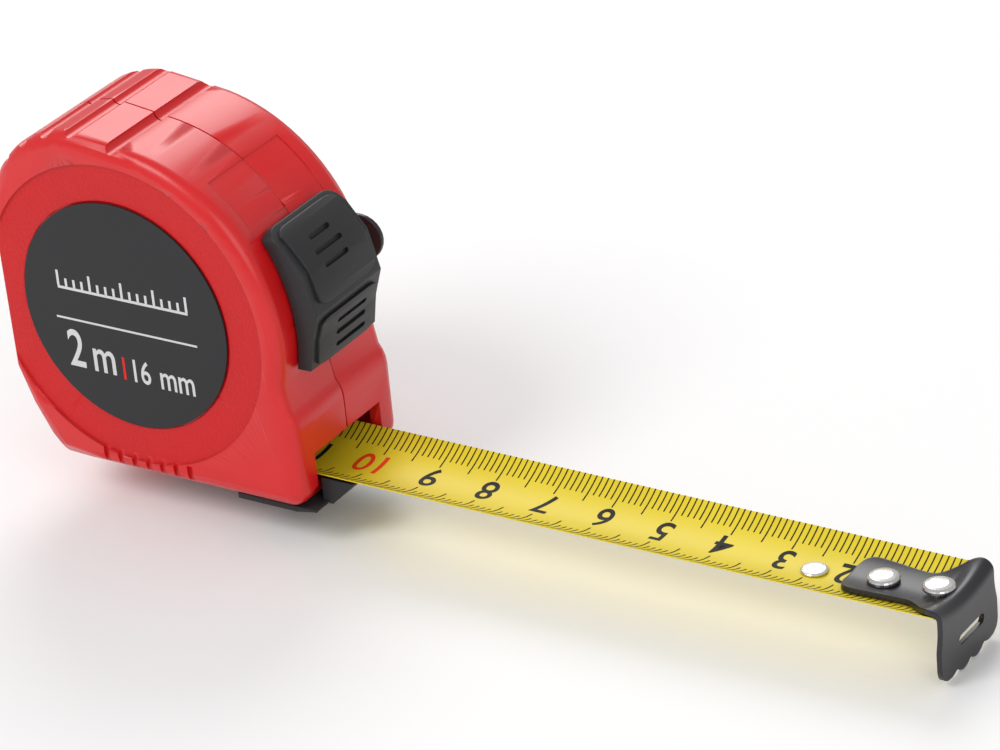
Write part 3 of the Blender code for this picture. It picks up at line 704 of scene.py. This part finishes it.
# belt clip with a round tip, and the dark foot and chin under the mouth

footValues = {"toeBack": 2.5, "toeAhead": 1.0, "toeLift": 0.6, "chinLift": 0.5, "edge": 0.25}
clipValues = {"tipRoom": 0.01, "edge": 0.18}


def makeClip():
    v = clipValues
    middle, half = (clipLow.z + clipHigh.z) / 2, (clipHigh.z - clipLow.z) / 2 + v["tipRoom"] * mm
    outline = circlePart((clipHigh.x - half, middle), half, -90, 90, 14)
    outline += [(clipLow.x - mm, middle + half), (clipLow.x - mm, middle - half)]
    clip = link("sprungClip", mergedCopy("belt_clip"), finishes["clipSteel"])
    carve(clip, pushed(outline, "y", clipLow.y - mm, clipHigh.y + mm), "INTERSECT")
    softEdges(clip, v["edge"] * mm, 2, 40)
    settle(clip)
    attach(clip, "case")
    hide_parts("belt_clip")


def makeFoot():  # its underside rises at the front
    v = footValues
    foot = link("footAndChin", mergedCopy("front_bumper"), finishes["blackBumper"])
    toe, tip = shellHigh.x - v["toeBack"] * mm, shellHigh.x + v["toeAhead"] * mm
    lift = [(toe, -mm), (footHigh.x, -mm), (footHigh.x, v["chinLift"] * mm)]
    lift += [(tip, v["toeLift"] * mm), (toe, 0)]
    carve(foot, pushed(lift, "y", -20 * mm, 20 * mm))
    softEdges(foot, v["edge"] * mm, 2, 40)
    settle(foot)
    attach(foot, "case")
    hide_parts("front_bumper")


# label: generic size figures, a line and a small ruler

labelValues = {
    "ink": 0.02, "lift": 0.01,
    "line": (0.0, -2.4, 13.0, 0.17),  # x, z from the middle, half length, half height
    "words": (  # text, x, z, height
        ("2", -10.1, -7.3, 6.3), ("m", -5.0, -8.6, 3.9), ("16", 1.9, -9.0, 3.9), ("mm", 8.4, -9.7, 2.8),
    ),
    "bold": 0.02, "narrow": 0.74,
    "stroke": (-1.4, -9.0, 0.22, 1.9),
    "rulerLine": 2.8, "rulerHalf": 12.0, "rulerBar": 0.22,
    "ticks": 17, "tickFoot": 3.0, "tickTall": 2.6, "tickShort": 1.4, "tickReach": 11.82,
}


def standUp(bm, x, z):  # from the xy plane to the label's face
    bmesh.ops.rotate(bm, verts=bm.verts, cent=(0, 0, 0), matrix=Matrix.Rotation(pi / 2, 3, "X"))
    vec = (x * mm, labelLow.y - (labelValues["ink"] + labelValues["lift"]) * mm, axisHeight + z * mm)
    bmesh.ops.translate(bm, verts=bm.verts, vec=vec)


def thicken(bm):
    bmesh.ops.solidify(bm, geom=bm.faces, thickness=labelValues["ink"] * mm)
    bmesh.ops.recalc_face_normals(bm, faces=bm.faces)


def inkBar(bm, x, z, halfX, halfZ):
    size = Matrix.Diagonal((halfX * mm, halfZ * mm, 1, 1))
    place = Matrix.Translation((x * mm, z * mm, 0))
    bmesh.ops.create_grid(bm, x_segments=1, y_segments=1, size=1.0, matrix=place @ size)


def onLabel(name, bm, finish):
    thicken(bm)
    standUp(bm, 0, 0)
    piece = link(name, bm, finishes[finish])
    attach(piece, "case")


def makeLabelPrint():
    v = labelValues
    bm = bmesh.new()
    inkBar(bm, *v["line"])
    inkBar(bm, 0, v["rulerLine"], v["rulerHalf"], v["rulerBar"])
    for i in range(v["ticks"]):
        x = v["tickReach"] * (2 * i / (v["ticks"] - 1) - 1)
        tall = v["tickTall"] if i % 4 == 0 else v["tickShort"]
        inkBar(bm, x, v["tickFoot"] + tall / 2, v["rulerBar"], tall / 2)
    onLabel("labelLines", bm, "paleInk")
    for i, (words, x, z, height) in enumerate(v["words"]):
        shape = textShape(words, height * mm, v["bold"], v["narrow"])
        bmesh.ops.translate(shape, verts=shape.verts, vec=(x * mm, z * mm, 0))
        onLabel(f"labelWords_{i}", shape, "paleInk")
    stroke = bmesh.new()
    inkBar(stroke, *v["stroke"])
    onLabel("labelStroke", stroke, "redInkOnLabel")


makeCamera()
for name, values in lamps.items():
    makeLamp(name, *values)
makeStage()
print("camera and light ready")
makeStrip()
makeMarks()
makeFigures()
print("blade printed")
makeHook()
print("hook pressed")
makeLock()
makeShell("leftShell", "case_left", -1)
makeShell("rightShell", "case_right", 1)
print("case cut")
makeLabelPrint()
print("label printed")
makeClip()
makeFoot()
print("clip and foot made")

keptNodes = {
    "label": "blackLabel", "lock_shoe": "blackLock", "belt_clip_screw": "screwSteel",
    "hook_rivet_front": "brightRivet", "hook_rivet_rear": "brightRivet", "blade_rivet": "brightRivet",
    "spindle": "screwSteel", "mainspring": "springSteel", "lock_spring": "springSteel",
    "reel_drum": "greyReel", "reel_cover": "greyReel", "blade_coil": "springSteel",
    **{f"case_screw_{i}": "screwSteel" for i in range(1, 5)},
}
for name, finish in keptNodes.items():
    finishNode(name, finish)
print("nodes finished")
